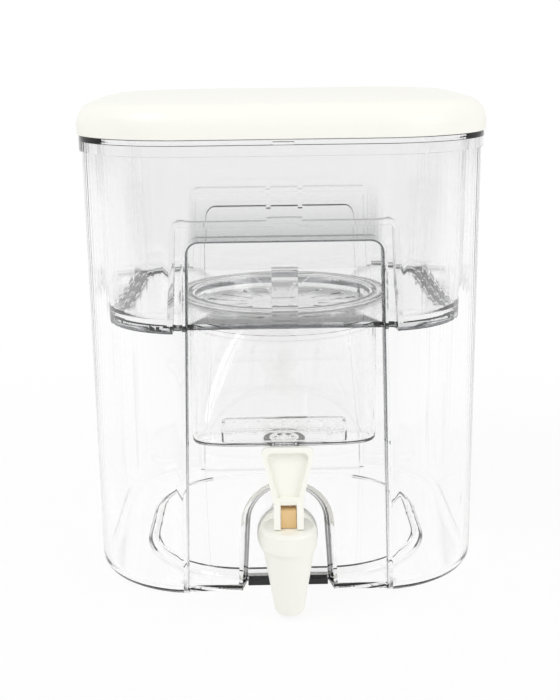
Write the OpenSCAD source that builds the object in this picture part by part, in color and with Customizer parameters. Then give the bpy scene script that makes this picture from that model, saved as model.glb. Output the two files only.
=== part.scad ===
// Gravity water filter with a tap: a clear storage tank, a clear upper reservoir that hangs in it,
// a clear filter cup locked into the reservoir floor, an ivory lid and a lever tap.
// Millimetres. +Z is up and the front with the tap faces -Y. The origin is on the table, under the
// middle of the whole object, so the modules are drawn round the tank axis and then placed.

/* [Tank] */
// Width of the tank wall at the rim
tank_w = 201; // [196:1:206]
// Depth of the tank wall at the rim
tank_d = 191; // [186:1:196]
// Height of the tank rim above the table
tank_h = 226.5; // [222:0.5:232]
// Corner radius of the tank wall at the rim
tank_r = 56; // [54:1:58]
// Wall thickness of the clear mouldings
wall = 2.5; // [2.2:0.1:2.8]
// How much narrower the tank is at its foot
taper_w = 2; // [1:0.5:3]
// How much shallower the tank is at its foot
taper_d = 6; // [4:0.5:7]

/* [Tap niche] */
// Height of the shallow niche in the front and the rear of the tank
niche_h = 181; // [176:1:184]
// Width of the niche at its top
niche_w_top = 92; // [88:1:94]
// Width of the niche at the table
niche_w_foot = 101; // [98:1:102]
// Distance of the niche panel from the middle of the tank
niche_y = 85.5; // [85:0.1:86]
// Height of the arched alcove for the tap
arch_h = 57.5; // [54:0.5:60]
// Width of the arched alcove at the table
arch_w = 47; // [45:0.5:49]
// Depth of the arched alcove behind the niche panel
arch_d = 11; // [10:0.5:12]

/* [Reservoir] */
// Width of the reservoir wall at its mouth
res_w = 185; // [182:1:186]
// Depth of the reservoir wall at its mouth
res_d = 181; // [178:1:182]
// Height of the reservoir floor above the table
floor_z = 136; // [132:0.5:140]
// Width of the air channel down the front of the reservoir
vent_w = 17; // [15:0.5:19]

/* [Filter] */
// Outer radius of the filter cup at its neck
cup_r = 52; // [51:0.5:52.5]
// Height of the underside of the filter cup above the table
cup_z = 52; // [48:1:58]
// Depth of the flat bottom of the filter cup
cup_foot_d = 32; // [28:1:40]
// Turn that frees the filter cup from its lock
cup_turn = 29; // [25:1:29]

/* [Lid] */
// Width of the lid
lid_w = 205; // [204:1:207]
// Depth of the lid
lid_d = 196; // [195:1:198]
// Height of the lid
lid_h = 16.5; // [15:0.5:18]
// Radius of the soft upper edge of the lid
lid_edge = 11; // [8:0.5:12]

/* [Tap] */
// Height of the tap inlet above the table
tap_z = 27; // [25:0.5:29]
// Distance of the spout from the middle of the tank
spout_y = 112; // [110:0.5:115]
// Height of the spout mouth above the table
spout_z = 2; // [1:0.5:4]
// Width of the lever paddle at its tip
lever_w = 25; // [22:1:28]
// Lift of the valve stem when the lever is fully tilted
stem_lift = 3.5; // [3:0.5:4]

/* [Hidden] */
$fn = 64;

// Colours of the real materials
clear = [0.93, 0.95, 0.96, 0.45];
ivory = [0.97, 0.965, 0.93];
tan = [0.85, 0.75, 0.57];
silicone = [0.95, 0.95, 0.93];
mesh_white = [0.97, 0.97, 0.97, 0.8];
black = [0.10, 0.10, 0.10];

// Steps of one rounded corner in the lofted shells, of a rounded edge, and of the oval cup
corner_steps = 24;
edge_steps = 4;
fillet_steps = 8;
oval_steps = 12;
// Bite of a cutting shape past the face that it cuts
cut = 1;

// Tank
foot_round = 6;
tank_foot_r = tank_r - 2;
rim_lip = 1.3;
rim_lip_h = 5;
panel_lift = 3;
panel_w = 142;
panel_d = 134;
panel_r = 50;
panel_slope = 4;
niche_corner = 5.5;
mouth_r = 1.2;
mouth_angles = [10 : 16 : 74];
strip_w = 41;
strip_d = 5.5;
strip_h = 2.6;

// Reservoir
res_drop_w = 6;
res_drop_d = 2;
res_r = 43;
flange_h = 2.5;
res_fillet = 8;
res_foot_round = 1.5;
notch_foot_r = 1.8;
floor_h = 3;
notch_h = 188;
notch_w_top = 103.6;
notch_w_foot = 121.6;
vent_depth = 1.4;
vent_slot_w = 10;

// Filter
cup_wall = 2;
cup_gap = 0.6;
cup_steps = 7;
foot_power = 3.6;
neck_step = 0.2;
collar_h = 10;
collar_wall = 2.6;
flange_r = 57;
seal_h = 0.6;
cup_flange_h = 1.4;
lug_deg = 8;
lug_play_deg = 0.6;
lug_gap = 0.4;
lug_h = 4;
lug_r = cup_r + 2.2;
lock_angles = [-3.5, 154.5];
outlet_hole_r = 8.5;
cap_slots = 16;
grip_w = 13;
screen_t = 0.6;
strainer_w = 70;
strainer_d = 22;
strainer_h = 7.5;

// Tap
bonnet_r = 13.5;
bonnet_z = 36.5;
bonnet_top = 46.5;
neck_r = 10.6;
neck_h = 6;
tip_r = 7.3;
shoulder_r = 12.6;
barrel_r = 9.2;
chamber_r = 8.5;
outlet_r = 5.2;
inlet_r = 4.6;
seat_z = 22;
plug_h = 4.5;
stem_rod_r = 3;
stem_w = 7.4;
pin_z = bonnet_top + 5;
pin_r = 1.25;
shank_r = 8;
shank_end = 58;
tap_flange_r = 15;
washer_h = 2.5;
nut_r = 13.5;
nut_h = 8;
lever_lean = 12;
lever_len = 33;
fork_in = 3.9;
fork_out = 7.1;
eye_r = 4.9;
heel_r = 8.2;
heel_deg = 35;
paddle_t = 5.2;
paddle_recess = 2.6;
paddle_flange = 2.6;
tip_round = 3;

// Lid
lid_r = tank_r + 2;
lid_wall = 2.2;
lid_play = 0.7;
lid_rim_h = 2.5;
lid_tab_w = 56;

// Derived heights and distances
lid_z = tank_h + flange_h;
floor_top = floor_z + floor_h;
seal_top = floor_top + seal_h;
neck_top = seal_top + cup_flange_h;
neck_z = floor_z - collar_h - 4;
cap_z = floor_z - 3;
lug_z = floor_z - 6;
arch_y = niche_y - arch_d;
notch_y = niche_y - wall - 1.5;
res_front = (res_d - res_drop_d) / 2;
centre_y = (spout_y + bonnet_r - lid_d / 2) / 2;

// ---- Outlines and lofts -------------------------------------------------------------

// A rounded rectangle as a ring of points, half width x, half depth y, corner radius r, height z
function rounded_ring(x, y, r, z) = [
    for (corner = [0 : 3], i = [0 : corner_steps])
        let (
            a = 90 * (corner + i / corner_steps),
            side_x = corner == 0 || corner == 3 ? 1 : -1,
            side_y = corner < 2 ? 1 : -1
        )
        [side_x * (x - r) + r * cos(a), side_y * (y - r) + r * sin(a), z]
];

// An oval between an ellipse (power 2) and a rectangle (large power)
function oval_ring(x, y, power, z) = [
    for (i = [0 : 4 * oval_steps - 1])
        let (a = 90 * (i + 0.5) / oval_steps)
        [
            x * sign(cos(a)) * pow(abs(cos(a)), 2 / power),
            y * sign(sin(a)) * pow(abs(sin(a)), 2 / power),
            z
        ]
];

// Rings of a rounded edge: the outline starts "round" inside and swells to its full size
function edge_rings(x, y, r, z, round, steps = edge_steps) = [
    for (i = [0 : steps])
        let (
            a = 90 * i / steps,
            inset = round * (1 - sin(a)),
            rise = round * (1 - cos(a))
        )
        rounded_ring(x - inset, y - inset, r - inset, z + rise)
];

// A closed solid through rings of equally many points, listed from the lowest up
module loft(rings) {
    n = len(rings[0]);
    last = (len(rings) - 1) * n;
    sides = [
        for (k = [0 : len(rings) - 2], i = [0 : n - 1])
            let (a = k * n + i, b = k * n + (i + 1) % n)
            each [[a, a + n, b + n], [a, b + n, b]]
    ];
    caps = [
        [for (i = [0 : n - 1]) i],
        [for (i = [n - 1 : -1 : 0]) last + i]
    ];
    polyhedron([for (ring = rings) each ring], concat(sides, caps), convexity = 6);
}

// A flat rounded plate with true arcs, from z0 to z1
module rounded_plate(x, y, r, z0, z1) {
    translate([0, 0, z0])
        linear_extrude(z1 - z0)
            rounded_outline(x, y, r);
}

module rounded_outline(x, y, r) {
    square([2 * (x - r), 2 * y], center = true);
    square([2 * x, 2 * (y - r)], center = true);
    for (sx = [-1, 1], sy = [-1, 1])
        translate([sx * (x - r), sy * (y - r)])
            circle(r);
}

// A flat outline drawn in X and Z, extruded along Y from y0 to y1
module along_y(y0, y1) {
    translate([0, y1, 0])
        rotate([90, 0, 0])
            linear_extrude(y1 - y0)
                children();
}

// The front of the niche or notch: straight sides that close a little towards a round-cornered top
module niche_outline(w_top, w_foot, h, r, grow = 0) {
    top = w_top / 2 + grow;
    foot = w_foot / 2 + grow;
    round = r + grow;
    height = h + grow;
    polygon([
        [-foot, -cut], [foot, -cut], [top, height - round],
        [top - round, height], [round - top, height], [-top, height - round]
    ]);
    for (side = [-1, 1])
        translate([side * (top - round), height - round])
            circle(round);
}

// ---- Tank -----------------------------------------------------------------------------

function tank_rings(inset, z0) = concat(
    edge_rings((tank_w - taper_w) / 2 - inset, (tank_d - taper_d) / 2 - inset,
        tank_foot_r - inset, z0, foot_round - inset / 2),
    [rounded_ring(tank_w / 2 - inset, tank_d / 2 - inset, tank_r - inset, tank_h + inset)]
);

// The raised middle of the floor with softly sloping edges; grow is the wall added over it
module raised_floor(grow) {
    loft(concat(
        [floor_ring(panel_slope + grow, -cut)],
        [
            for (i = [0 : edge_steps])
                let (t = i / edge_steps)
                floor_ring(panel_slope * (1 + cos(180 * t)) / 2 + grow, panel_lift * t + grow)
        ]
    ));
}

function floor_ring(spread, z) =
    rounded_ring(panel_w / 2 + spread, panel_d / 2 + spread, panel_r + spread, z);

// The arched alcove, narrower and lower at its back; grow is the wall added round it
module alcove(grow) {
    front_half = arch_w / 2 + grow;
    back_half = arch_w / 2 - 2.5 + grow;
    hull() {
        along_y(-niche_y - cut, -niche_y)
            arch_outline(front_half, arch_h + grow);
        along_y(-arch_y - 0.1, -arch_y + grow)
            arch_outline(back_half, arch_h - 6 + grow);
    }
}

module arch_outline(half, h) {
    top_half = half - 2;
    polygon([[-half, -cut], [half, -cut], [top_half, h - top_half], [-top_half, h - top_half]]);
    translate([0, h - top_half])
        circle(top_half, $fn = 32);
}

// Y of the tank's front at x and height z
function front_y(x, z) =
    let (
        t = max(0, z - foot_round) / (tank_h - foot_round),
        half_x = (tank_w - taper_w * (1 - t)) / 2,
        half_y = (tank_d - taper_d * (1 - t)) / 2,
        r = tank_foot_r + (tank_r - tank_foot_r) * t,
        over = max(0, abs(x) - half_x + r)
    )
    r - half_y - sqrt(r * r - over * over);

// Outline of the niche mouth in X and Z, up its right side, over the top and down its left side
function mouth_points(grow) =
    let (
        round = niche_corner + grow,
        top = niche_w_top / 2 - niche_corner,
        height = niche_h - niche_corner,
        foot = niche_w_foot / 2 + grow,
        side = [for (i = [0 : 4]) [foot, -cut] + [top + round - foot, height + cut] * i / 4],
        left = [for (i = [4 : -1 : 0]) [-side[i][0], side[i][1]]]
    )
    concat(
        side,
        [for (a = [15 : 15 : 90]) [top, height] + round * [cos(a), sin(a)]],
        [for (a = [90 : 15 : 165]) [-top, height] + round * [cos(a), sin(a)]],
        left
    );

function flat_mouth(grow, y) = [for (p = mouth_points(grow)) [p[0], y, p[1]]];

function curved_mouth(grow, depth) = [
    for (p = mouth_points(grow)) [p[0], front_y(p[0], p[1]) + depth, p[1]]
];

// Rounds the outer edge of the niche where it meets the front of the tank
module niche_mouth() {
    wide = mouth_r + 1.6;
    loft(concat(
        [flat_mouth(-0.3, -niche_y - 2), curved_mouth(-0.3, mouth_r + 1.5)],
        [
            for (a = mouth_angles)
                curved_mouth(mouth_r * (1 - cos(a)), mouth_r * (1 - sin(a)))
        ],
        [curved_mouth(wide, -0.5), flat_mouth(wide, -tank_d)]
    ));
}

// What the niches and the alcove take out of the tank, or with a wall round them out of its hollow
module tank_hollows(grow) {
    for (side = [0, 180])
        rotate(side)
            along_y(-tank_d, -niche_y + grow)
                niche_outline(niche_w_top, niche_w_foot, niche_h, niche_corner, grow);
    alcove(grow);
}

module tank_body() {
    color(clear)
        difference() {
            union() {
                difference() {
                    loft(tank_rings(0, 0));
                    tank_hollows(0);
                    for (side = [0, 180])
                        rotate(side)
                            niche_mouth();
                }
                rounded_plate(tank_w / 2 + rim_lip, tank_d / 2 + rim_lip, tank_r + rim_lip,
                    tank_h - rim_lip_h, tank_h);
            }
            difference() {
                loft(tank_rings(wall, wall));
                tank_hollows(wall);
                raised_floor(wall);
            }
            raised_floor(0);
            translate([0, -arch_y + wall + cut, tap_z])
                rotate([90, 0, 0])
                    cylinder(r = shank_r + 0.05, h = 3 * wall);
        }
}

// Black rubber bar under the alcove, behind the spout
module foot_strip() {
    color(black)
        translate([-strip_w / 2, -arch_y - strip_d, 0])
            cube([strip_w, strip_d, strip_h]);
}

// ---- Tap ------------------------------------------------------------------------------

// A cylinder along Y from y0 to y1 at the height of the tap inlet
module inlet_rod(r, y0, y1) {
    translate([0, y1, tap_z])
        rotate([90, 0, 0])
            cylinder(r = r, h = y1 - y0);
}

module at_spout() {
    translate([0, -spout_y, 0])
        children();
}

module tap_body() {
    flange_y = arch_y + washer_h;
    color(ivory)
        difference() {
            union() {
                at_spout()
                    rotate_extrude()
                        polygon([
                            [0, spout_z], [tip_r - 2, spout_z], [tip_r - 0.6, spout_z + 0.6],
                            [tip_r, spout_z + 2], [shoulder_r, bonnet_z], [neck_r, bonnet_z],
                            [neck_r, bonnet_z + neck_h], [0, bonnet_z + neck_h]
                        ]);
                inlet_rod(barrel_r, -spout_y, -flange_y);
                inlet_rod(tap_flange_r, -flange_y - 3, -flange_y);
                inlet_rod(shank_r, -flange_y, -shank_end);
            }
            at_spout() {
                translate([0, 0, spout_z - cut])
                    cylinder(r = outlet_r, h = seat_z);
                translate([0, 0, seat_z])
                    cylinder(r = chamber_r, h = bonnet_z);
            }
            inlet_rod(inlet_r, -spout_y, -shank_end + cut);
        }
}

module tap_bonnet() {
    color(ivory)
        at_spout()
            rotate_extrude()
                polygon([
                    [neck_r + 0.1, bonnet_z], [bonnet_r, bonnet_z],
                    [bonnet_r, bonnet_top - 1.6], [bonnet_r - 0.5, bonnet_top - 0.5],
                    [bonnet_r - 1.6, bonnet_top], [stem_rod_r + 0.3, bonnet_top],
                    [stem_rod_r + 0.3, bonnet_z + neck_h], [neck_r + 0.1, bonnet_z + neck_h]
                ]);
}

module ring(r_out, r_in, z0, z1) {
    translate([0, 0, z0])
        difference() {
            cylinder(r = r_out, h = z1 - z0);
            translate([0, 0, -cut])
                cylinder(r = r_in, h = z1 - z0 + 2 * cut);
        }
}

module bonnet_seal() {
    color(silicone)
        at_spout()
            ring(chamber_r - 0.1, stem_rod_r + 0.05, bonnet_z + neck_h - 2, bonnet_z + neck_h);
}

// A flat washer on the tap shank
module shank_washer(r, y0, y1) {
    difference() {
        inlet_rod(r, y0, y1);
        inlet_rod(shank_r + 0.1, y0 - cut, y1 + cut);
    }
}

module outer_washer() {
    color(silicone)
        shank_washer(tap_flange_r + 0.5, -arch_y - washer_h, -arch_y);
}

module inner_washer() {
    color(silicone)
        shank_washer(tap_flange_r - 1, -arch_y + wall, -arch_y + wall + 2);
}

module tap_nut() {
    y0 = -arch_y + wall + 2;
    color(ivory)
        difference() {
            union() {
                translate([0, y0 + nut_h, tap_z])
                    rotate([90, 0, 0])
                        cylinder(r = nut_r, h = nut_h, $fn = 6);
                inlet_rod(nut_r, y0, y0 + 2);
            }
            inlet_rod(shank_r + 0.05, y0 - cut, y0 + nut_h + cut);
        }
}

module tap_stem() {
    head_z = bonnet_top + 0.3;
    color(tan)
        at_spout()
            difference() {
                union() {
                    translate([0, 0, seat_z + plug_h])
                        cylinder(r = stem_rod_r, h = head_z - seat_z - plug_h);
                    translate([-stem_w / 2, -stem_w / 2, head_z])
                        cube([stem_w, stem_w, pin_z + 4 - head_z]);
                }
                translate([0, 0, pin_z])
                    rotate([0, 90, 0])
                        cylinder(r = pin_r, h = 2 * stem_w, center = true);
            }
}

module lever_pin() {
    color(ivory)
        translate([0, -spout_y, pin_z])
            rotate([0, 90, 0])
                cylinder(r = pin_r, h = 2 * fork_out + 0.6, center = true);
}

module valve_plug() {
    color(silicone)
        at_spout() {
            translate([0, 0, seat_z])
                cylinder(r = chamber_r - 1.5, h = plug_h);
            translate([0, 0, seat_z - 3])
                cylinder(r1 = outlet_r - 1.4, r2 = outlet_r - 0.4, h = 3);
        }
}

// The paddle seen from the front, narrow at the fork and wide at the tip; inset draws the recess
module paddle_outline(inset) {
    corner_x = lever_w / 2 - inset - tip_round;
    corner_z = lever_len - inset - tip_round;
    neck_half = fork_out - 0.25 - inset;
    polygon(concat(
        [[-neck_half, 6], [-neck_half, 0], [neck_half, 0], [neck_half, 6]],
        [for (a = [0 : 15 : 90]) [corner_x, corner_z] + tip_round * [cos(a), sin(a)]],
        [for (a = [90 : 15 : 180]) [-corner_x, corner_z] + tip_round * [cos(a), sin(a)]]
    ));
}

// The paddle with the shallow recess that the finger presses
module paddle() {
    difference() {
        along_y(-paddle_t / 2, paddle_t / 2)
            paddle_outline(0);
        along_y(-paddle_t, -paddle_t / 2 + paddle_recess)
            intersection() {
                paddle_outline(paddle_flange);
                translate([-lever_w, 9])
                    square([2 * lever_w, lever_len]);
            }
    }
}

// One leg of the fork: a round eye with a heel in front that rides up on the bonnet
module fork_leg() {
    rotate([90, 0, 90])
        linear_extrude(fork_out - fork_in)
            polygon(concat(
                [for (a = [-90 : 10 : 50]) eye_r * [cos(a), sin(a)]],
                [
                    [2, 7], [-3.5, 7], [-eye_r, 2],
                    [-heel_r * cos(heel_deg), -heel_r * sin(heel_deg) + 0.6],
                    [-heel_r * cos(heel_deg) + 0.6, -heel_r * sin(heel_deg)]
                ]
            ));
}

module tap_lever() {
    color(ivory)
        translate([0, -spout_y, pin_z])
            difference() {
                union() {
                    difference() {
                        rotate([-lever_lean, 0, 0])
                            paddle();
                        rotate([0, 90, 0])
                            cylinder(r = eye_r + 1.2, h = fork_in + fork_out, center = true);
                    }
                    for (x = [-fork_out, fork_in])
                        translate([x, 0, 0])
                            fork_leg();
                }
                rotate([0, 90, 0])
                    cylinder(r = pin_r + 0.05, h = lever_w, center = true);
            }
}

// ---- Reservoir ------------------------------------------------------------------------

function res_rings(inset, z0, round, z1, steps) = concat(
    edge_rings((res_w - res_drop_w) / 2 - inset, (res_d - res_drop_d) / 2 - inset,
        res_r - 1 - inset, z0, round, steps),
    [rounded_ring(res_w / 2 - inset, res_d / 2 - inset, res_r - inset, z1)]
);

// The reservoir stands clear of the tank niches by matching notches in its front and rear
module res_notches(grow) {
    for (side = [0, 180])
        rotate(side)
            along_y(-tank_d, -notch_y + grow)
                niche_outline(notch_w_top, notch_w_foot, notch_h, 2, grow);
}

// Rounds the lower edge of the floor at the notch
module notch_foot_edge() {
    reach = notch_foot_r + 1.2;
    translate([-54, -notch_y, floor_z])
        rotate([90, 0, 90])
            linear_extrude(108)
                polygon(concat(
                    [[-1, reach], [-1, -1], [reach, -1], [reach, -0.2]],
                    [
                        for (a = [262 : -12.333 : 187])
                            notch_foot_r * [1 + cos(a), 1 + sin(a)]
                    ],
                    [[-0.2, reach]]
                ));
}

// The air channel down the front: a strip of the wall stepped inwards by "step"
module vent_step(w, step, top) {
    translate([-w / 2, -tank_d, floor_z - cut])
        cube([w, tank_d - res_front + step, top - floor_z + cut]);
    translate([-w / 2, -tank_d, floor_z - cut])
        cube([w, tank_d - notch_y + step, notch_h + step - floor_z + cut]);
}

// A piece of a ring round the filter axis
module ring_sector(r0, r1, a0, a1, z0, z1) {
    rotate(a0)
        rotate_extrude(angle = a1 - a0)
            translate([r0, z0])
                square([r1 - r0, z1 - z0]);
}

// Windows in the filter collar for the two lugs, each with its way in from above
module lug_windows() {
    half = lug_deg / 2 + lug_play_deg;
    r0 = cup_r - cut;
    r1 = cup_r + cup_gap + collar_wall + cut;
    for (a = lock_angles) {
        ring_sector(r0, r1, a - half, a + cup_turn + half, lug_z - lug_gap, lug_z + lug_h + lug_gap);
        ring_sector(r0, lug_r + cup_gap, a + cup_turn - half + 0.3, a + cup_turn + half - 0.3,
            lug_z, floor_top + cut);
    }
}

module reservoir() {
    color(clear)
        difference() {
            union() {
                difference() {
                    loft(res_rings(0, floor_z, res_foot_round, tank_h + flange_h, edge_steps));
                    res_notches(0);
                    for (side = [0, 180])
                        rotate(side)
                            notch_foot_edge();
                    vent_step(vent_w - 2 * wall + 0.8, vent_depth, tank_h);
                }
                rounded_plate(tank_w / 2 + rim_lip, tank_d / 2 + rim_lip, tank_r + rim_lip,
                    tank_h, tank_h + flange_h);
                translate([0, 0, floor_z - collar_h])
                    cylinder(r = cup_r + cup_gap + collar_wall, h = collar_h + 1);
            }
            difference() {
                loft(res_rings(wall, floor_top, res_fillet, tank_h + flange_h + cut, fillet_steps));
                res_notches(wall);
                vent_step(vent_w, vent_depth + wall, tank_h + 2 * flange_h);
            }
            translate([0, 0, floor_z - 2 * collar_h])
                cylinder(r = cup_r + cup_gap, h = 4 * collar_h);
            lug_windows();
            translate([-vent_slot_w / 2, -tank_d, tank_h - cut])
                cube([vent_slot_w, tank_d - res_front + vent_depth, cut + 1.4]);
        }
}

// ---- Filter ---------------------------------------------------------------------------

// Rings of the cup below its neck: round at the neck, a flat oval at the foot
function cup_rings(inset, z0, round, z1) = concat(
    [
        for (i = [0 : edge_steps - 1])
            let (a = 90 * i / edge_steps, in = round * (1 - sin(a)) + inset)
            oval_ring(cup_r - in, cup_foot_d / 2 - in, foot_power, z0 + round * (1 - cos(a)))
    ],
    [
        for (i = [0 : cup_steps])
            let (
                t = i / cup_steps,
                swell = 1 - (1 - t) * (1 - t) * (1 + 0.6 * t),
                depth = cup_foot_d / 2 + (cup_r - cup_foot_d / 2) * swell
            )
            oval_ring(cup_r - inset, depth - inset, foot_power + (2 - foot_power) * swell,
                z0 + round + (z1 - z0 - round) * t)
    ]
);

module filter_cup() {
    color(clear)
        difference() {
            union() {
                loft(cup_rings(0, cup_z, 3, neck_z + 0.5));
                translate([0, 0, neck_z])
                    cylinder(r = cup_r + neck_step, h = seal_top + 1 - neck_z);
                translate([0, 0, seal_top])
                    cylinder(r = flange_r, h = cup_flange_h);
                for (a = lock_angles)
                    ring_sector(cup_r - 1, lug_r, a - lug_deg / 2, a + lug_deg / 2,
                        lug_z, lug_z + lug_h);
            }
            loft(cup_rings(cup_wall, cup_z + cup_wall, 3, neck_z + 0.7));
            translate([0, 0, neck_z + 0.3])
                cylinder(r = cup_r - cup_wall + neck_step, h = neck_top);
            translate([0, 0, cup_z - cut])
                cylinder(r = outlet_hole_r, h = 3 * cup_wall);
        }
}

module filter_seal() {
    color(silicone)
        ring(flange_r - 0.4, lug_r + cup_gap + 0.2, floor_top, seal_top);
}

// The cap that closes the cup, with radial inlet slots and a finger grip
module filter_cap() {
    inner_r = cup_r - cup_wall - 0.1;
    color(clear)
        difference() {
            union() {
                ring(inner_r, inner_r - 1.6, cap_z, seal_top);
                translate([0, 0, cap_z])
                    cylinder(r = inner_r, h = 1.6);
                along_y(-1.5, 1.5)
                    grip_outline();
            }
            for (a = [0 : 360 / cap_slots : 359])
                rotate(a + 180 / cap_slots)
                    translate([20, -1.2, cap_z - cut])
                        cube([22, 2.4, 4 * cut]);
        }
}

module grip_outline() {
    z0 = cap_z + 1;
    polygon([
        [-grip_w / 2, z0], [grip_w / 2, z0], [grip_w / 2, z0 + 7.5],
        [grip_w / 2 + 11, z0 + 15.5], [-grip_w / 2 - 11, z0 + 15.5], [-grip_w / 2, z0 + 7.5]
    ]);
}

module upper_screen() {
    color(mesh_white)
        translate([0, 0, cap_z - screen_t])
            cylinder(r = cup_r - cup_wall - 1.5, h = screen_t);
}

// The slotted box that holds the lower screen over the outlet
module bottom_strainer() {
    z0 = cup_z + cup_wall;
    color(clear)
        difference() {
            rounded_plate(strainer_w / 2, strainer_d / 2, 3, z0, z0 + strainer_h);
            rounded_plate(strainer_w / 2 - 1.5, strainer_d / 2 - 1.5, 1.5, z0 - cut,
                z0 + strainer_h - 1.5);
            for (x = [-28 : 7 : 28])
                translate([x - 1, -7, z0])
                    cube([2, 14, 2 * strainer_h]);
        }
}

module outlet_grille() {
    color(clear)
        difference() {
            union() {
                translate([0, 0, cup_z - 2])
                    cylinder(r = 11.8, h = 2);
                translate([0, 0, cup_z - 1])
                    cylinder(r = outlet_hole_r - 0.1, h = 1 + cup_wall);
            }
            for (a = [0 : 60 : 359])
                rotate(a)
                    translate([5, 0, cup_z - 3])
                        cylinder(r = 1.6, h = 9, $fn = 24);
        }
}

// ---- Lid ------------------------------------------------------------------------------

function lid_rings(inset, z0, round) = concat(
    [rounded_ring(lid_w / 2 - inset, lid_d / 2 - inset, lid_r - inset, z0)],
    [
        for (i = [edge_steps + 1 : -1 : 0])
            let (
                a = 90 * i / (edge_steps + 1),
                in = inset + round * (1 - sin(a)),
                z = lid_z + lid_h - inset - round * (1 - cos(a))
            )
            rounded_ring(lid_w / 2 - in, lid_d / 2 - in, lid_r - in, z)
    ]
);

// A gusset between the inner rim at y0 and the skin of the lid
module lid_rib(y0) {
    skin_y = lid_d / 2 - lid_wall / 2;
    rotate([90, 0, 90])
        linear_extrude(1.6)
            polygon([
                [y0, 4], [skin_y, 4], [skin_y, lid_h - lid_edge + 2],
                [skin_y - 3.5, lid_h - lid_wall - 1.5], [y0, lid_h - lid_wall - 1.5]
            ]);
}

module lid() {
    rim_x = res_w / 2 - wall - lid_play;
    rim_y = res_d / 2 - wall - lid_play;
    rim_r = res_r - wall - lid_play;
    color(ivory)
        difference() {
            union() {
                difference() {
                    loft(lid_rings(0, lid_z, lid_edge));
                    loft(lid_rings(lid_wall, lid_z - cut, lid_edge - lid_wall));
                }
                difference() {
                    rounded_plate(rim_x, rim_y, rim_r, lid_z - lid_rim_h, lid_z + lid_h - 1);
                    rounded_plate(rim_x - 1.8, rim_y - 1.8, rim_r - 1.8, lid_z - 2 * lid_rim_h,
                        lid_z + lid_h - lid_wall);
                }
                for (x = [-30, 0, 30], side = [0, 180])
                    rotate(side)
                        translate([x - 0.8, 0, lid_z])
                            lid_rib(rim_y - 1);
            }
            for (side = [-1, 1])
                translate([-lid_w / 2, side * (lid_d + lid_tab_w) / 2, lid_z - lid_d / 2])
                    translate([0, -lid_d / 2, 0])
                        cube([lid_w, lid_d, lid_d / 2 + 0.5]);
        }
}

// Puts a piece that is drawn round the tank axis in its place over the origin
module placed() {
    translate([0, centre_y, 0])
        children();
}

placed() tank_body();
placed() foot_strip();
placed() tap_body();
placed() tap_bonnet();
placed() bonnet_seal();
placed() outer_washer();
placed() inner_washer();
placed() tap_nut();
placed() tap_stem();
placed() lever_pin();
placed() valve_plug();
placed() tap_lever();
placed() reservoir();
placed() filter_cup();
placed() filter_seal();
placed() filter_cap();
placed() upper_screen();
placed() bottom_strainer();
placed() outlet_grille();
placed() lid();
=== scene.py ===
# %% [markdown]
# # A gravity water filter with a lever tap
# The real object is a stack of clear moulded shells: a storage tank, a reservoir that hangs in it
# by its flange, and a filter cup locked into the reservoir floor. An ivory lid closes it and an
# ivory lever tap lets the water out. The construction is already modelled at its real size, so
# this lesson loads it as a fixed frame and gives every piece its finish.

import math

import bpy
from mathutils import Matrix, Vector


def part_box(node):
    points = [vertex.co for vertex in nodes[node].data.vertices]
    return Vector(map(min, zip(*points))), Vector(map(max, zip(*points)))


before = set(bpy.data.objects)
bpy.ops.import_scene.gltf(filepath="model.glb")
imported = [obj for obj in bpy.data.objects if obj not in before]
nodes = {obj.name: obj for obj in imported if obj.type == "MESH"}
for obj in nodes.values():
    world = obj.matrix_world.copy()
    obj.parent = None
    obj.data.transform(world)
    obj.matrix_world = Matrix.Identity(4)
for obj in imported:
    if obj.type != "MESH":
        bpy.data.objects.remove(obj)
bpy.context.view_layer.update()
MM = 0.001

# %% [markdown]
# ## The camera first
# The picture was taken from in front and a little above, with the lens shifted up. Such a view is
# set by where the camera stands, which way it looks and how long its lens is. Its values were
# found by matching the corners of the lid, the niche and the tank foot. Moving a camera by eye
# could come close, but written values keep the model and the picture comparable spot by spot.

# %% Camera
IMAGE_H = 700
CAMERA_PLACE = Vector((-9.6, -618.5, 272.1)) * MM
LOOK_DOWN = 0.227
LOOK_RIGHT = 0.013
ROLL = -0.013
FOCAL_PX = 1162.7
HORIZON_SHIFT_PX = -38.4
SENSOR_HEIGHT = 36

forward = Vector((
    math.sin(LOOK_RIGHT) * math.cos(LOOK_DOWN),
    math.cos(LOOK_RIGHT) * math.cos(LOOK_DOWN),
    -math.sin(LOOK_DOWN),
))
level_right = Vector((math.cos(LOOK_RIGHT), -math.sin(LOOK_RIGHT), 0))
level_up = level_right.cross(forward)
right = level_right * math.cos(ROLL) + level_up * math.sin(ROLL)
up = level_up * math.cos(ROLL) - level_right * math.sin(ROLL)

camera_data = bpy.data.cameras.new("camera")
camera = bpy.data.objects.new("camera", camera_data)
bpy.context.collection.objects.link(camera)
camera_data.sensor_width = SENSOR_HEIGHT
camera_data.lens = FOCAL_PX / IMAGE_H * SENSOR_HEIGHT
camera_data.shift_y = HORIZON_SHIFT_PX / IMAGE_H
camera.matrix_world = Matrix.Translation(CAMERA_PLACE) @ Matrix((
    (right.x, up.x, -forward.x, 0),
    (right.y, up.y, -forward.y, 0),
    (right.z, up.z, -forward.z, 0),
    (0, 0, 0, 1),
))
bpy.context.scene.camera = camera
print("lens", round(camera_data.lens, 2), "mm")

# %% [markdown]
# ## Small helpers for node materials
# Every finish below is a node tree. Such a tree could be drawn by hand in the shader editor, but a
# script can be read and run again. One helper makes an empty tree, one adds a node and fills its
# sockets by name, and one links two sockets.

# %% Helpers: trees, nodes and links
def start_material(name):
    material = bpy.data.materials.new(name)
    material.use_nodes = True
    material.node_tree.nodes.clear()
    return material


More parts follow.
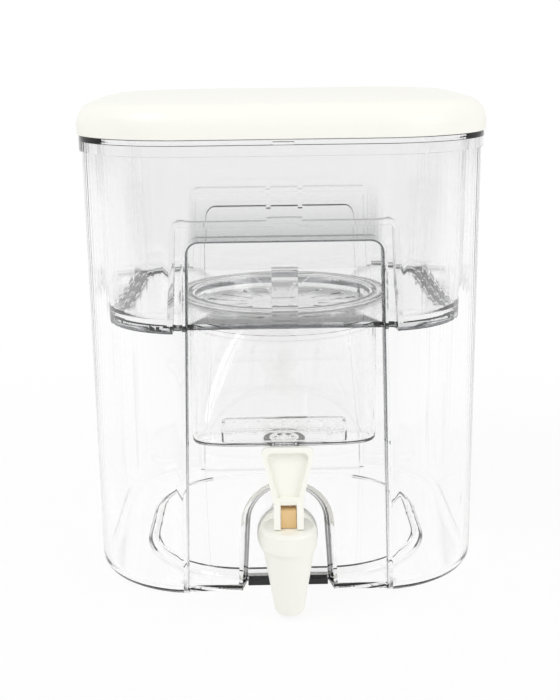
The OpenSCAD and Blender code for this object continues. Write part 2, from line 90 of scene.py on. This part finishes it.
def add_node(material, kind, properties=(), **values):
    node = material.node_tree.nodes.new(kind)
    for key, value in dict(properties).items():
        setattr(node, key, value)
    for key, value in values.items():
        node.inputs[key.replace("_", " ")].default_value = value
    return node


def link(material, source, out_name, target, in_name):
    material.node_tree.links.new(source.outputs[out_name], target.inputs[in_name])


print("helpers ready: trees, nodes and links")

# %% [markdown]
# ## Sums, ramps and blends
# Some finishes change with the place or the direction of the surface. A picture could be painted
# for that, but sums on the surface's own values need no picture and follow the real edges. These
# helpers add one sum, split a vector, make a soft step, blend two shaders and add a fine grain.

# %% Helpers: sums, ramps and blends
def combine(material, operation, *sources):
    node = add_node(material, "ShaderNodeMath", {"operation": operation})
    for source, socket in zip(sources, node.inputs):
        material.node_tree.links.new(source, socket)
    return node.outputs["Value"]


def components(material, source):
    node = add_node(material, "ShaderNodeSeparateXYZ")
    material.node_tree.links.new(source, node.inputs["Vector"])
    return node.outputs


def smooth_ramp(material, source, low, high, low_value, high_value):
    node = add_node(
        material, "ShaderNodeMapRange", {"interpolation_type": "SMOOTHSTEP"},
        From_Min=low, From_Max=high, To_Min=low_value, To_Max=high_value,
    )
    material.node_tree.links.new(source, node.inputs["Value"])
    return node.outputs["Result"]


def mix_shaders(material, factor, first, second):
    mix = add_node(material, "ShaderNodeMixShader")
    sources = (factor, first.outputs[0], second.outputs[0])
    for source, socket in zip(sources, mix.inputs):
        material.node_tree.links.new(source, socket)
    return mix


def fine_bump(material, shader, scale, strength, distance):
    place = add_node(material, "ShaderNodeTexCoord")
    noise = add_node(material, "ShaderNodeTexNoise", Scale=scale, Detail=3.0, Roughness=0.5)
    bump = add_node(material, "ShaderNodeBump", Strength=strength, Distance=distance)
    link(material, place, "Object", noise, "Vector")
    link(material, noise, "Fac", bump, "Height")
    link(material, bump, "Normal", shader, "Normal")


print("helpers ready: sums, ramps and blends")

# %% [markdown]
# ## Two edges with painted shade
# The rounded mouth of the tank's front niche shows as one dark line in the picture. On the real
# object that line is shade where light bends in the clear wall; here it is painted shade, a dark
# tint in the plastic. The mouth is found from its shape: it lies close to the front, and its
# surface turns inwards or downwards. The outer edge of the reservoir floor shows dark too and gets
# painted shade the same way. It is a low band just above the underside of that floor, where the
# surface stands upright. Both could be drawn as extra dark strips, but nothing lies there on the
# real object, so the painted shade goes into the plastic's colour. Each function gives 1 on its
# edge and 0 elsewhere.

# %% Where the painted shade goes
MOUTH_DEPTH = 3 * MM
MOUTH_FADE = 2 * MM
FLOOR_UNDERSIDE = 136 * MM
FLOOR_EDGE_HEIGHT = 2.6 * MM
FLOOR_EDGE_FADE = 0.6 * MM


# Painted shade: 1 on the niche mouth, where the plastic is tinted dark in place of real shade.
def niche_mouth_painted_shade(material):
    tank_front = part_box("tank_body")[0][1]
    shape = add_node(material, "ShaderNodeNewGeometry")
    normal = components(material, shape.outputs["Normal"])
    spot = components(material, shape.outputs["Position"])
    side = combine(material, "SIGN", spot["X"])
    outward = combine(material, "MULTIPLY", normal["X"], side)
    least = combine(material, "MINIMUM", outward, normal["Z"])
    turned = smooth_ramp(material, least, -0.25, -0.05, 1.0, 0.0)
    facing = smooth_ramp(material, normal["Y"], -0.25, -0.05, 1.0, 0.0)
    mouth_end = tank_front + MOUTH_DEPTH
    near = smooth_ramp(material, spot["Y"], mouth_end, mouth_end + MOUTH_FADE, 1.0, 0.0)
    return combine(material, "MULTIPLY", combine(material, "MULTIPLY", turned, facing), near)


# Painted shade: 1 on the low band at the reservoir floor's outer edge, tinted dark the same way.
def floor_rim_painted_shade(material):
    place = add_node(material, "ShaderNodeTexCoord")
    height = components(material, place.outputs["Object"])["Z"]
    shape = add_node(material, "ShaderNodeNewGeometry")
    normal = components(material, shape.outputs["Normal"])
    rise = combine(material, "ABSOLUTE", normal["Z"])
    upright = smooth_ramp(material, rise, 0.6, 0.8, 1.0, 0.0)
    edge_top = FLOOR_UNDERSIDE + FLOOR_EDGE_HEIGHT
    over = smooth_ramp(material, height, FLOOR_UNDERSIDE - 0.2 * MM, FLOOR_UNDERSIDE, 0.0, 1.0)
    under = smooth_ramp(material, height, edge_top - FLOOR_EDGE_FADE, edge_top, 1.0, 0.0)
    return combine(material, "MULTIPLY", combine(material, "MULTIPLY", over, under), upright)


print("edges found by shape:", niche_mouth_painted_shade.__name__, floor_rim_painted_shade.__name__)

# %% [markdown]
# ## Clear plastic
# The tank, the reservoir and the filter are moulded in a clear styrene-like plastic. Each shell is
# a closed solid with two faces. A see-through film would be quicker, but it bends no light. A
# refracting shader with the refractive index of that plastic bends light at both faces as the
# real wall does. A weak grey absorption inside the wall makes long paths darker than short ones.
# That is what draws the grey lines along corners and edges, where the eye looks through the wall
# lengthways. Light that only casts a shadow passes almost unhindered, because this plastic shades
# nothing much on a pale table.

# %% Clear plastic
PLASTIC_INDEX = 1.52
SHADOW_TINT = (0.95, 0.95, 0.95, 1)
WALL_GREY = (0.42, 0.44, 0.46, 1)


def refracting(material, tint):
    return add_node(
        material, "ShaderNodeBsdfPrincipled", Base_Color=(*tint, 1), Roughness=0.0,
        IOR=PLASTIC_INDEX, Transmission_Weight=1.0,
    )


def clear_plastic(name, density, painted_shade_mask=None, painted_shade_tint=None):
    material = start_material(name)
    surface = refracting(material, (1, 1, 1))
    fine_bump(material, surface, 18, 0.03, 2 * MM)
    # Painted shade: where the mask is 1, a dark-tinted copy of the plastic takes over.
    if painted_shade_mask is not None:
        painted_shade_surface = refracting(material, painted_shade_tint)
        surface = mix_shaders(material, painted_shade_mask(material), surface, painted_shade_surface)
    light_path = add_node(material, "ShaderNodeLightPath")
    pass_through = add_node(material, "ShaderNodeBsdfTransparent", Color=SHADOW_TINT)
    is_shadow = light_path.outputs["Is Shadow Ray"]
    cover = mix_shaders(material, is_shadow, surface, pass_through)
    absorb = add_node(material, "ShaderNodeVolumeAbsorption", Color=WALL_GREY, Density=density)
    output = add_node(material, "ShaderNodeOutputMaterial")
    link(material, cover, "Shader", output, "Surface")
    link(material, absorb, "Volume", output, "Volume")
    return material


# The last values are painted shade tints: near black on the niche mouth, dark grey on the floor
# rim.
tank_plastic = clear_plastic("tank_plastic", 1.5, niche_mouth_painted_shade, (0.05, 0.055, 0.06))
basin_plastic = clear_plastic("basin_plastic", 2.0, floor_rim_painted_shade, (0.2, 0.21, 0.22))
cup_plastic = clear_plastic("cup_plastic", 1.2)
print("made", tank_plastic.name, basin_plastic.name, cup_plastic.name)

# %% [markdown]
# ## Ivory, tan, silicone, rubber and mesh
# The lid and the tap are satin ivory mouldings: almost white with a warm cast, a soft highlight
# and a barely visible grain. The valve stem is a natural tan plastic. Silicone is cloudy and soft,
# the foot bar is matt black rubber, and the fine mesh under the filter cap lets most light by.
# One function makes all five, because they differ only in colour, shine and the size of the
# grain. The grain is a noise in the surface's slope, so it stays sharp at any distance.

# %% Opaque finishes
GRAIN_STRENGTH = 0.15
GRAIN_DEPTH = 0.1 * MM


def moulded(name, color, roughness, grain, depth=GRAIN_DEPTH, **more):
    material = start_material(name)
    shader = add_node(
        material, "ShaderNodeBsdfPrincipled", Base_Color=(*color, 1), Roughness=roughness,
        IOR=1.5, **more,
    )
    fine_bump(material, shader, grain, GRAIN_STRENGTH, depth)
    output = add_node(material, "ShaderNodeOutputMaterial")
    link(material, shader, "BSDF", output, "Surface")
    return material


ivory_plastic = moulded("ivory_plastic", (0.955, 0.95, 0.88), 0.38, 900, 0.08 * MM)
tan_plastic = moulded("tan_plastic", (0.82, 0.57, 0.28), 0.45, 700)
clear_silicone = moulded(
    "clear_silicone", (0.94, 0.94, 0.92), 0.4, 500, Transmission_Weight=0.35,
)
black_rubber = moulded("black_rubber", (0.02, 0.02, 0.022), 0.65, 1200)
filter_mesh = moulded("filter_mesh", (0.97, 0.97, 0.97), 0.6, 3000, Alpha=0.15)
opaque_finishes = (ivory_plastic, tan_plastic, clear_silicone, black_rubber, filter_mesh)
print("made", *(finish.name for finish in opaque_finishes))

# %% [markdown]
# ## Give each piece its finish
# The loaded pieces keep their shape. A finer mesh could be made, but the frame's meshes are the
# measured ones. So their faces are only shaded smooth, except across real edges, and a rounded
# corner made of narrow flats reads as one curve.

# %% Assign the finishes
FINISHES = {
    "tank_body": tank_plastic, "reservoir": basin_plastic, "filter_cup": cup_plastic,
    "filter_cap": cup_plastic, "bottom_strainer": cup_plastic, "outlet_grille": cup_plastic,
    "lid": ivory_plastic, "tap_body": ivory_plastic, "tap_bonnet": ivory_plastic,
    "tap_lever": ivory_plastic, "tap_nut": ivory_plastic, "lever_pin": ivory_plastic,
    "tap_stem": tan_plastic, "foot_strip": black_rubber, "upper_screen": filter_mesh,
    "outer_washer": clear_silicone, "inner_washer": clear_silicone,
    "bonnet_seal": clear_silicone, "valve_plug": clear_silicone, "filter_seal": clear_silicone,
}
SMOOTH_BELOW = math.radians(24)
SAME_POINT = 0.002 * MM

for name, finish in FINISHES.items():
    piece = nodes[name]
    piece.data.materials.clear()
    piece.data.materials.append(finish)
    piece.data.shade_smooth()
    weld = piece.modifiers.new("join the seams", "WELD")
    weld.merge_threshold = SAME_POINT
    split = piece.modifiers.new("keep real edges", "EDGE_SPLIT")
    split.split_angle = SMOOTH_BELOW
print("finished", len(FINISHES), "pieces")

# %% [markdown]
# ## Rays that see the white ground
# The picture has a white ground without a horizon. Stronger lamps could bleach the floor, but they
# would wash out the object too. So the floor and the sky are white for rays that come from the
# camera, from a gloss or through the clear walls. Rays that the walls send back towards the room
# behind the camera find it darker, and so the edges of the walls show grey.

# %% Helpers: which rays see white
ROOM_LIGHT = 0.45


def seen_directly(material):
    ray = add_node(material, "ShaderNodeLightPath").outputs
    seen = combine(material, "MAXIMUM", ray["Is Camera Ray"], ray["Is Glossy Ray"])
    return combine(material, "MAXIMUM", seen, ray["Is Transmission Ray"])


def white_for_camera(material, strength):
    ray = add_node(material, "ShaderNodeLightPath").outputs
    return combine(material, "MAXIMUM", ray["Is Camera Ray"], strength)


print("helpers ready: room light", ROOM_LIGHT)

# %% [markdown]
# ## The floor
# The object stands on a white board. One large flat face is enough for it, because its edges lie
# beyond the view from every side. It lies a hair under the tank, so that the two don't touch.

# %% The floor
FLOOR_HALF = 6.0
FLOOR_DROP = 0.2 * MM
corner_signs = ((-1, -1), (1, -1), (1, 1), (-1, 1))
floor_corners = [(x * FLOOR_HALF, y * FLOOR_HALF, -FLOOR_DROP) for x, y in corner_signs]
floor_mesh = bpy.data.meshes.new("floor")
floor_mesh.from_pydata(floor_corners, [], [(0, 1, 2, 3)])
floor = bpy.data.objects.new("floor", floor_mesh)
bpy.context.collection.objects.link(floor)
print("floor", 2 * FLOOR_HALF, "m wide")

# %% [markdown]
# ## The floor's paint
# Close to the object the floor keeps a tenth of its plain, lit colour, so the soft shadow stays.
# A second face for the shadow could do that too, but one blend that fades with the distance leaves
# no seam. Towards the room in front, and far to the sides, the floor is darker for rays that come
# out of the clear walls.

# %% The floor's paint
floor_paint = start_material("floor_paint")
floor_place = add_node(floor_paint, "ShaderNodeNewGeometry").outputs["Position"]
floor_spot = components(floor_paint, floor_place)
front_floor = smooth_ramp(floor_paint, floor_spot["Y"], -0.5, -0.15, ROOM_LIGHT, 1.0)
aside = combine(floor_paint, "ABSOLUTE", floor_spot["X"])
side_floor = smooth_ramp(floor_paint, aside, 1.0, 2.5, 1.0, ROOM_LIGHT)
room_floor = combine(floor_paint, "MINIMUM", front_floor, side_floor)
distance = add_node(floor_paint, "ShaderNodeVectorMath", {"operation": "LENGTH"})
floor_paint.node_tree.links.new(floor_place, distance.inputs[0])
whiteness = smooth_ramp(floor_paint, distance.outputs["Value"], 0.12, 0.5, 0.9, 1.0)
white_part = combine(floor_paint, "MULTIPLY", seen_directly(floor_paint), whiteness)

matt = add_node(floor_paint, "ShaderNodeBsdfDiffuse", Color=(0.94, 0.94, 0.94, 1))
glow = add_node(floor_paint, "ShaderNodeEmission", Color=(1, 1, 1, 1))
glow_strength = white_for_camera(floor_paint, room_floor)
floor_paint.node_tree.links.new(glow_strength, glow.inputs["Strength"])
floor_cover = mix_shaders(floor_paint, white_part, matt, glow)
floor_out = add_node(floor_paint, "ShaderNodeOutputMaterial")
link(floor_paint, floor_cover, "Shader", floor_out, "Surface")
floor_mesh.materials.append(floor_paint)
print("made", floor_paint.name)

# %% [markdown]
# ## Daylight
# The sky lights the object evenly from all sides, at a plain level. It could be a photographed
# room, but a plain white one keeps the clear walls free of strange reflections.

# %% The sky
world = bpy.data.worlds.new("daylight")
bpy.context.scene.world = world
world.use_nodes = True
world.node_tree.nodes.clear()
sky = add_node(world, "ShaderNodeBackground", Color=(1, 1, 1, 1), Strength=0.72)
white_sky = add_node(world, "ShaderNodeBackground", Color=(1, 1, 1, 1))
direction = add_node(world, "ShaderNodeTexCoord").outputs["Generated"]
direction_y = components(world, direction)["Y"]
room = smooth_ramp(world, direction_y, -0.3, 0.3, ROOM_LIGHT, 1.0)
world.node_tree.links.new(white_for_camera(world, room), white_sky.inputs["Strength"])
sky_cover = mix_shaders(world, seen_directly(world), sky, white_sky)
sky_out = add_node(world, "ShaderNodeOutputWorld")
link(world, sky_cover, "Shader", sky_out, "Surface")
print("made", world.name)

# %% [markdown]
# ## Lamps
# Daylight alone would leave the ivory pieces flat. A large round lamp high on the left gives soft
# highlights, and a weaker one on the right opens the shadows. Large lamps were chosen because
# small ones draw hard spots on clear plastic.

# %% The lamps
LIT_SPOT = (0, 0, 0.12)


def soft_lamp(name, place, size, power):
    lamp = bpy.data.lights.new(name, "AREA")
    lamp.shape = "DISK"
    lamp.size = size
    lamp.energy = power
    piece = bpy.data.objects.new(name, lamp)
    piece.location = place
    aim = Vector(LIT_SPOT) - Vector(place)
    piece.rotation_euler = aim.to_track_quat("-Z", "Y").to_euler()
    bpy.context.collection.objects.link(piece)
    return piece


key_lamp = soft_lamp("key_lamp", (-1.2, -0.8, 1.8), 0.9, 12)
fill_lamp = soft_lamp("fill_lamp", (1.3, -0.9, 0.8), 1.0, 6)
print("lamps:", key_lamp.name, fill_lamp.name)

# %% [markdown]
# ## Finish
# Several clear walls stand one behind the other, so light needs many bounces to come through. With
# fewer, the inner pieces would turn black. The last lines set the plain colour view and the
# bounces.

# %% Bounces and colour view
MANY_BOUNCES = 32
scene = bpy.context.scene
scene.view_settings.view_transform = "Standard"
scene.cycles.max_bounces = MANY_BOUNCES
scene.cycles.transmission_bounces = MANY_BOUNCES
scene.cycles.transparent_max_bounces = MANY_BOUNCES
